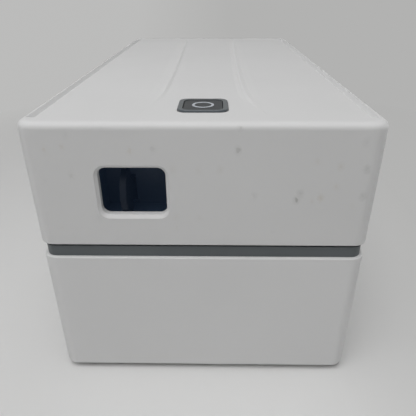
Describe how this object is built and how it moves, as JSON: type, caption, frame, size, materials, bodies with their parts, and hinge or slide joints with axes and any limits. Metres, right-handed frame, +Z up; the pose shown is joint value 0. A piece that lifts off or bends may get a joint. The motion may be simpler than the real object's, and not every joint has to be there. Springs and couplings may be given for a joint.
{
  "type": "thermal label printer",
  "caption": "Desktop label printer: deep base tub, recessed dark waist band with label slot, hinged lid with feed button, finger window and drop-in roll bay.",
  "frame": {"origin": "middle of the footprint on the plane the feet rest on", "axes": "+Z up, front with the label slot and finger window faces -Y, +X to the right of a viewer at the front"},
  "size_m": [0.146, 0.286, 0.1339],
  "materials": {
    "white_shell": "fine satin texture, moulded",
    "dark_band": "satin",
    "foot_rubber": "matte",
    "bezel_grey": "semi-gloss",
    "button_dark": "semi-gloss",
    "black_plastic": "fine texture",
    "grey_tray": "satin",
    "guide_grey": "satin",
    "gear_plastic": "natural acetal",
    "steel": "brushed",
    "screw_steel": "zinc plated",
    "brass": "turned",
    "motor_black": "satin",
    "board_green": "solder mask",
    "chip_black": "moulded",
    "sink_aluminium": "extruded",
    "head_ceramic": "glazed",
    "platen_rubber": "ground"
  },
  "bodies": {
    "base": {"base_shell": "white_shell", "waist_band": "dark_band", "feet": "foot_rubber", "base_hinge_leaves": "steel", "base_hinge_screws": "screw_steel", "hinge_pins": "steel", "print_frame": "steel", "frame_screws": "screw_steel", "platen_bushes": "brass", "idler_stud": "steel", "motor": "motor_black", "motor_screws": "screw_steel", "paper_guide": "black_plastic", "label_sensor": "black_plastic", "strikers": "steel", "media_tray": "grey_tray", "tray_screws": "screw_steel", "pinion_stud": "steel", "main_board": "board_green", "board_screws": "screw_steel", "board_components": "chip_black", "usb_port": "steel", "dc_jack": "black_plastic", "switch_body": "black_plastic", "io_panel": "black_plastic"},
    "lid": {"lid_shell": "white_shell", "lid_hinge_leaves": "steel", "lid_hinge_screws": "screw_steel", "lid_frame": "black_plastic", "lid_frame_screws": "screw_steel", "tear_bar": "steel", "finger_pocket": "black_plastic", "button_bezel": "bezel_grey", "button_board": "board_green", "button_switch": "chip_black", "head_guide_pins": "steel", "head_springs": "steel"},
    "release": {"release_shaft": "steel", "release_lever": "black_plastic", "release_hooks": "black_plastic"},
    "print_head": {"heat_sink": "sink_aluminium", "thermal_board": "head_ceramic", "head_connector": "black_plastic"},
    "button": {"feed_button": "button_dark"},
    "platen": {"platen_shaft": "steel", "platen_roller": "platen_rubber", "platen_gear": "gear_plastic"},
    "idler": {"idler_gear": "gear_plastic"},
    "rotor": {"motor_shaft": "steel", "motor_pinion": "brass"},
    "left_guide": {"guide_left": "guide_grey", "rack_left": "guide_grey"},
    "right_guide": {"guide_right": "guide_grey", "rack_right": "guide_grey"},
    "pinion": {"guide_pinion": "gear_plastic"},
    "rocker": {"switch_rocker": "black_plastic"}
  },
  "joints": [
    {"name": "lid_hinge", "type": "hinge", "parent": "base", "child": "lid", "pos_m": [0, 0.14, 0.07435], "axis": [-1, 0, 0], "range_deg": [0, 90]},
    {"name": "release_press", "type": "hinge", "parent": "lid", "child": "release", "pos_m": [0, -0.116, 0.091], "axis": [-1, 0, 0], "range_deg": [0, 12], "stiffness_Nm_per_rad": 0.4},
    {"name": "feed_button_press", "type": "slide", "parent": "lid", "child": "button", "axis": [0, 0, -1], "range_m": [0, 0.0008], "stiffness_N_per_m": 1500},
    {"name": "head_float", "type": "slide", "parent": "lid", "child": "print_head", "axis": [0, 0, 1], "range_m": [0, 0.0008], "stiffness_N_per_m": 6000, "springref_m": -0.002, "deforming": ["head_springs"]},
    {"name": "platen_spin", "type": "hinge", "parent": "base", "child": "platen", "pos_m": [0, -0.126, 0.07], "axis": [1, 0, 0], "continuous": true},
    {"name": "idler_spin", "type": "hinge", "parent": "base", "child": "idler", "pos_m": [0, -0.12186, 0.05525], "axis": [1, 0, 0], "continuous": true},
    {"name": "rotor_spin", "type": "hinge", "parent": "base", "child": "rotor", "pos_m": [0, -0.11, 0.04], "axis": [1, 0, 0], "continuous": true},
    {"name": "left_guide_slide", "type": "slide", "parent": "base", "child": "left_guide", "axis": [1, 0, 0], "range_m": [-0.004, 0.03]},
    {"name": "right_guide_slide", "type": "slide", "parent": "base", "child": "right_guide", "axis": [-1, 0, 0], "range_m": [-0.004, 0.03]},
    {"name": "guide_pinion_turn", "type": "hinge", "parent": "base", "child": "pinion", "pos_m": [0, 0.024, 0.0195], "axis": [0, 0, 1], "range_deg": [-33, 246]},
    {"name": "power_rocker", "type": "hinge", "parent": "base", "child": "rocker", "pos_m": [-0.025, 0.137, 0.016], "axis": [0, 0, 1], "range_deg": [0, 16]}
  ],
  "couplings": [
    {"joint": "idler_spin", "follows": "platen_spin", "ratio": -1.7143},
    {"joint": "rotor_spin", "follows": "platen_spin", "ratio": 5.1429},
    {"joint": "right_guide_slide", "follows": "left_guide_slide", "ratio": 1},
    {"joint": "guide_pinion_turn", "follows": "left_guide_slide", "rad_per_m": 142.86}
  ]
}
